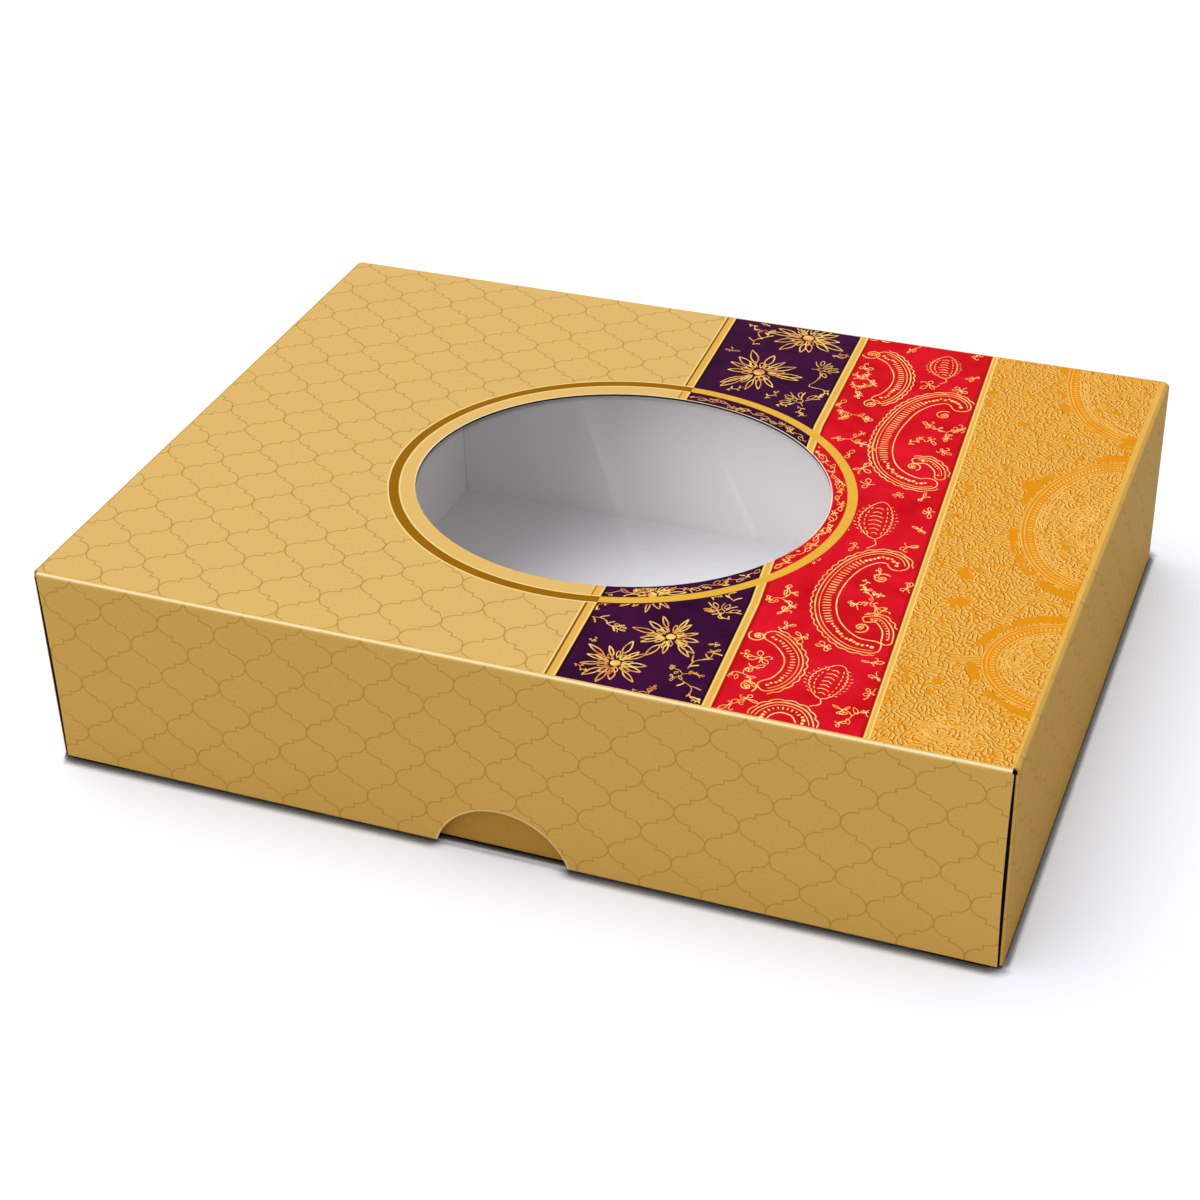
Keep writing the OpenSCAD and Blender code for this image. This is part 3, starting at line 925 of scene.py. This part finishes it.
def stamp(name, band, strokes, finish, breadth=1.0):
    """Strokes as one mesh of low ridges on the lid, cut off at the band's edges, the ring and the window."""
    vertices, faces = [], []

    def ridge(points, width):
        first = len(vertices)
        last = len(points) - 1
        for i, (x, y) in enumerate(points):
            ax, ay = points[max(i - 1, 0)]
            bx, by = points[min(i + 1, last)]
            length = math.hypot(bx - ax, by - ay) or 1.0
            half = width * breadth / 2 * (STROKE_TIP if i in (0, last) else 1.0)
            sx, sy = -(by - ay) / length * half, (bx - ax) / length * half
            vertices.append((x + sx, y + sy, TOP_Z - FOIL_SUNK))
            vertices.append((x, y, TOP_Z + FOIL_RISE))
            vertices.append((x - sx, y - sy, TOP_Z - FOIL_SUNK))
            if i:
                a = first + 3 * i
                faces.append((a - 3, a, a + 1, a - 2))
                faces.append((a - 2, a + 1, a + 2, a - 1))
                faces.append((a - 1, a + 2, a, a - 3))
        end = first + 3 * last
        faces.extend([(first, first + 1, first + 2), (end + 2, end + 1, end)])

    def dome(x, y, radius):
        first = len(vertices)
        for reach, height in ((radius, -FOIL_SUNK), (radius * DOME_FLAT, FOIL_RISE)):
            for i in range(DOME_SIDES):
                angle = 2 * math.pi * i / DOME_SIDES
                vertices.append((x + reach * math.cos(angle), y + reach * math.sin(angle), TOP_Z + height))
        for i in range(DOME_SIDES):
            a, b = first + i, first + (i + 1) % DOME_SIDES
            faces.append((a, b, b + DOME_SIDES, a + DOME_SIDES))
        faces.append(tuple(range(first + DOME_SIDES, first + 2 * DOME_SIDES)))
        faces.append(tuple(range(first + DOME_SIDES - 1, first - 1, -1)))

    for points, width in strokes:
        if len(points) == 1:
            if within(band, *points[0]):
                dome(*points[0], width / 2)
            continue
        run = []
        for point in evenly(points) + [None]:
            if point and within(band, *point):
                run.append(point)
                continue
            if len(run) > 1:
                ridge(run, width)
            run = []
    mesh = bpy.data.meshes.new(name)
    mesh.from_pydata([(x * MM, y * MM, z * MM) for x, y, z in vertices], [], faces)
    mesh.materials.append(foil(name, *finish))
    piece = bpy.data.objects.new(name, mesh)
    bpy.context.scene.collection.objects.link(piece)
    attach(piece, "lid")


PURPLE_MOTIFS = (
    placed(daisy(11.8, 14), 22.5, 89.3, 5)
    + placed(daisy(12.4, 14), 15.2, 64.6, 12)
    + placed(daisy(8.9), 36.4, -70.6, 3)
    + placed(daisy(9.3), 27.6, -85.3, 9)
    + placed(daisy(8.6), 25.9, -54.8)
    + placed(sprig(9.5, 7), 8.2, 80.2, 72)
    + placed(sprig(6.0, 5), 3.0, 92.5, -40)
    + placed(bloom(1.6, 4), 3.6, 74.8)
    + placed(bloom(1.4, 4), 7.8, 94.0)
    + placed(bloom(1.6, 4), 33.4, 81.0)
    + placed(bloom(1.4, 4), 35.8, 82.4)
    + placed(thistle(5.0), 31.4, 71.6, 20)
    + [(smooth_line([(32.6, 68), (32.2, 64.5), (31.2, 61), (35.8, 60), (36.6, 56.5)]), 0.46)]
    + placed(sprig(5.0, 5), 37.2, 60.5, -110)
    + placed(thistle(5.6), 31.4, 51.6, 130)
    + placed(sprig(5.5, 5), 31.5, 49.0, -65)
    + placed(sprig(5.0, 4), 21.5, 50.0, 60)
    + placed(sprig(4.0, 4), 25.5, 47.5, 20)
    + placed(sprig(4.5, 4), 9.5, 51.5, 30)
    + placed(thistle(4.8), 44.4, -56.6, 100)
    + placed(sprig(6.5, 6), 47.5, -59.0, 150)
    + placed(sprig(8.0, 6), 46.0, -51.0, 118)
    + placed(sprig(8.5, 6), 15.2, -68.6, -18)
    + placed(bloom(1.5, 4), 23.2, -71.8)
    + placed(bloom(1.2, 4), 47.6, -70.2)
    + placed(bloom(1.2, 4), 19.0, -78.2)
    + placed(posy(5.4), 44.2, -84.4, 20)
    + placed(sprig(9.5, 5), 44.6, -82.0, 62)
    + placed(sprig(9.5, 5), 45.0, -87.0, -52)
    + placed(sprig(4.0, 4), 18.4, -88.6, -30)
    + placed(posy(4.6), 39.6, -95.0, 90)
    + placed(sprig(5.0, 4), 16.6, -60.0, -115)
    + placed(sprig(5.0, 4), 37.0, -52.0, 20)
    + vine(*VINE)
)
stamp("purple_band_foil", PURPLE, PURPLE_MOTIFS, PURPLE_FOIL, FINE_STROKE)

BIG_PAISLEY = (
    (75.4, 60.0), (74.2, 64.0), (70.2, 66.0), (65.2, 63.0), (61.6, 57.0), (60.0, 49.5),
    (59.4, 42.0), (60.4, 33.0), (63.6, 25.0), (68.6, 20.2), (74.4, 18.4), (78.6, 20.8),
)
BIG_PAISLEY_HOOK = ((79.0, 22.0), (77.6, 27.0), (73.6, 30.6), (69.6, 29.4))
LOW_PAISLEY = (
    (80.6, -24.6), (78.6, -20.4), (74.0, -20.0), (69.4, -25.0), (67.0, -33.5),
    (67.2, -43.6), (71.0, -52.8), (78.0, -58.8), (85.2, -59.0),
)
LOW_PAISLEY_HOOK = ((86.0, -57.4), (85.0, -51.6), (81.6, -47.4), (78.0, -48.6))
BACK_HOOK = ((44.4, 86.6), (50.0, 83.2), (54.2, 76.4), (55.4, 69.0), (53.8, 62.0), (50.8, 58.4))
FRONT_HOOK = ((57.6, -61.6), (62.6, -64.2), (66.8, -69.4), (67.8, -75.0), (66.2, -80.4), (62.6, -83.6))
FRONT_ARCH = ((66.0, -97.0), (66.8, -92.4), (70.0, -89.6), (74.4, -90.4), (77.0, -94.0), (77.4, -97.0))
RED_BLOOMS = (
    (42.6, 94.8), (71.9, 94.0), (74.4, 80.4), (63.1, 72.5), (72.5, 71.9), (43.4, 76.2), (71.3, 42.0),
    (78.0, 50.6), (61.9, 13.8), (70.6, 11.0), (77.2, 11.6), (80.6, 5.0), (80.6, -3.8), (66.9, -16.9),
    (79.6, -13.0), (58.4, -26.3), (56.9, -41.3), (58.6, -51.4), (61.4, -57.0), (66.3, -60.6), (72.5, -62.5),
    (84.4, -31.9), (85.0, -65.6), (76.5, -27.5), (55.6, -71.4), (59.6, -72.0), (61.3, -88.8), (58.6, -92.3),
    (87.6, -71.0), (88.1, -77.5), (57.9, 32.6), (52.6, 27.4), (58.0, 21.4), (42.4, 53.8), (81.4, -43.4),
    (74.6, -42.6), (61.9, -10.0),
)
RED_MOTIFS = (
    paisley(BACK_HOOK, 4.8, 1)
    + paisley(BIG_PAISLEY, 5.4, -1)
    + paisley(LOW_PAISLEY, 5.2, -1)
    + paisley(BIG_PAISLEY_HOOK, 2.8, -1)
    + paisley(LOW_PAISLEY_HOOK, 2.6, -1)
    + paisley(FRONT_HOOK, 4.4, 1)
    + paisley(FRONT_ARCH, 4.0, 1)
    + placed(curl(2.9), 43.0, 85.4, 200)
    + placed(curl(2.7), 50.6, 56.6, 20)
    + placed(curl(2.4), 71.4, 56.6, 60)
    + placed(curl(2.2), 70.6, 26.6, -60)
    + placed(curl(2.4), 77.4, -29.4, 40)
    + placed(curl(2.2), 78.4, -52.0, -110)
    + placed(curl(2.4), 56.0, -63.4, 140)
    + placed(curl(2.4), 60.0, -84.0, -50)
    + placed(shell(13.5, 7.8), 66.4, 77.6, 100)
    + placed(shell(18.5, 8.6), 70.6, -12.0, 98)
    + placed(shell(14.5, 8.6), 77.6, -83.4, 86)
    + placed(bloom(2.4), 79.6, -42.6)
    + placed(posy(6.4), 54.6, 93.6, 10)
    + placed(posy(5.6), 45.6, 70.4, 80)
    + placed(posy(5.2), 44.4, 63.4, 30)
    + placed(posy(7.2), 47.4, 49.0, 15)
    + placed(posy(6.4), 50.6, 35.6, 70)
    + placed(posy(5.2), 74.6, 47.6, 20)
    + placed(sprig(5.0, 5), 66.4, 37.6, 60)
    + placed(bloom(1.8), 69.0, 50.0)
    + placed(bloom(1.9), 76.0, 37.0)
    + placed(posy(5.0), 76.8, -37.6, 40)
    + placed(sprig(4.6, 5), 73.6, -31.0, -80)
    + placed(posy(6.4), 57.6, -79.6, 50)
    + placed(posy(8.0), 86.4, -87.6, 25)
    + placed(posy(5.6), 56.4, -46.0, 60)
    + vine(*VINE)
)
for x, y in RED_BLOOMS:
    RED_MOTIFS += placed(bloom(pen.uniform(1.6, 2.3), pen.choice((4, 5, 5))), x, y, pen.uniform(0, 360))
stamp("red_band_foil", RED, RED_MOTIFS, RED_FOIL, FINE_STROKE)

SAFFRON_MOTIFS = []
for (centre, half), (start, sweep) in zip(SAFFRON_ARCHES, ((88, 190), (86, 190), (175, 88))):
    SAFFRON_MOTIFS += placed(arches(half, start, sweep, 2), *centre)
SAFFRON_MOTIFS += (
    placed(arches((9.0, 18.0), 84, 200, 1), 127.0, 13.0)
    + placed(arches((9.0, 6.4), 20, 320, 1), 110.0, -86.5, 8)
    + placed(shell(12.0, 6.0), 114.0, -87.0, 176)
    + placed(shell(13.0, 7.0), 117.5, 8.0, 84)
    + placed(shell(10.0, 6.0), 117.5, -58.0, 84)
)
stamp("saffron_band_foil", SAFFRON, SAFFRON_MOTIFS, SAFFRON_FOIL)


# The lid's four corner tabs: hinged from the side walls and glued behind the long walls.
# Their outer face lies in the slot at each corner, so it is painted near-black, as painted shade for the
# slot.
SLOT_ROUGHNESS = 0.7


def plain_board(name, outward, crease, colour, roughness=BOARD_ROUGHNESS):
    """The board without a lattice, as on the tabs and all over the tray."""
    material, root = new_material(name)
    place = millimetres(root)
    relief, shade = fine_grain(place)
    board_faces(root, outward, crease, tinted(linear(colour), shade), relief, place, roughness)
    return material


for side in ("front", "back"):
    tab_board = plain_board(f"slot_{side}", SIDES[side], 1, PAINTED_SLOT_SHADE, SLOT_ROUGHNESS)
    for hand in ("left", "right"):
        dress(f"lid_{side}_{hand}_tab", tab_board)


# The window film: clear stiff plastic, glued under the top panel round the oval.
# It is a little slack, and a painted reflection makes a faint slanting wedge across it and a fainter one
# beside it.
FILM_ALPHA = 0.05
FILM_ROUGHNESS = 0.05
SLACK_SIZE = 60.0
SLACK_DEPTH = 0.4
WEDGE_GLINT_ALPHA = 0.05
WEDGE_TIP = (16.8, 21.6)
WEDGE_TURN = math.radians(-59.5)
WEDGE_LENGTH = 50.0
WEDGE_OPENS = 0.028
WEDGE_CLOSES = 0.15
SECOND_TIP = (0.0, -13.9)
SECOND_WIDTH = 3.0
SECOND_STRENGTH = 0.5


def clear_film():
    material, root = new_material("clear_film")
    place = millimetres(root)
    x, y = split(place)[:2]
    c, s = math.cos(WEDGE_TURN), math.sin(WEDGE_TURN)

    def down_and_across(tip):
        return (x - tip[0]) * c + (y - tip[1]) * s, (y - tip[1]) * c - (x - tip[0]) * s

    down, across = down_and_across(WEDGE_TIP)
    half_wedge = lowest(down * WEDGE_OPENS, (WEDGE_LENGTH - down) * WEDGE_CLOSES)
    wedge = rise(half_wedge - abs(across), 0.3)
    down, across = down_and_across(SECOND_TIP)
    second = rise(across) * rise(SECOND_WIDTH - across, 4.0) * SECOND_STRENGTH
    # Painted reflection: the film is more opaque in the two wedges, so they show more of the white that it
    # mirrors.
    alpha = FILM_ALPHA + highest(wedge, second) * WEDGE_GLINT_ALPHA
    slack = noise(place, SLACK_SIZE, 1.0) * SLACK_DEPTH
    paint(root, grey(1), slack, FILM_ROUGHNESS, Metallic=1.0, Alpha=alpha)
    return material


dress("window_film", clear_film())


# The glue: thin amber lines of hot glue that hold the film and the corner tabs.
# It sets with a slight ripple.
GLUE_AMBER = (214, 190, 140)
GLUE_ROUGHNESS = 0.35
RIPPLE_SIZE = 2.0
RIPPLE_DEPTH = 0.05


def glue_line():
    material, root = new_material("glue_line")
    ripple = noise(millimetres(root), RIPPLE_SIZE)
    colour = tinted(linear(GLUE_AMBER), 0.9 + ripple * 0.2)
    paint(root, colour, ripple * RIPPLE_DEPTH, GLUE_ROUGHNESS + ripple * 0.1)
    return material


glue_material = glue_line()
for node in ("window_glue", "lid_corner_glue", "tray_corner_glue"):
    dress(node, glue_material)


# The tray: the same gold board without the lattice, folded up into floor, walls and glued tabs.
# Its front wall shows in the lid's thumb notch, and its gold is painted darker than the lid's, as painted
# shade.
SHADED_TRAY_GOLD = (190, 143, 62)

for side, outward in SIDES.items():
    tray_board = plain_board(f"tray_{side}", outward, -1, SHADED_TRAY_GOLD)
    dress(f"tray_{side}_wall", tray_board)
    if outward[1]:
        for hand in ("left", "right"):
            dress(f"tray_{side}_{hand}_tab", tray_board)
dress("tray_floor", plain_board("tray_floor", (0, 0, -1), -1, SHADED_TRAY_GOLD))


# The insert: one sheet of thin white board, folded into a platform with a well for the sweets.
# It has no print, only the faint fibres of uncoated board.
INSERT_WHITE = (219, 213, 213)
INSERT_ROUGHNESS = 0.7
INSERT_FIBRE_SIZE = 0.8
INSERT_FIBRE_DEPTH = 0.015
INSERT_CLOUD_SIZE = 30.0


def white_board():
    material, root = new_material("white_board")
    place = millimetres(root)
    fibres = noise(place, INSERT_FIBRE_SIZE, 4.0, 0.65)
    cloud = noise(place, INSERT_CLOUD_SIZE)
    colour = tinted(linear(INSERT_WHITE), 0.96 + fibres * 0.04 + cloud * 0.03)
    paint(root, colour, fibres * INSERT_FIBRE_DEPTH, INSERT_ROUGHNESS)
    return material


white_material = white_board()
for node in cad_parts:
    if node.startswith("insert_"):
        dress(node, white_material)
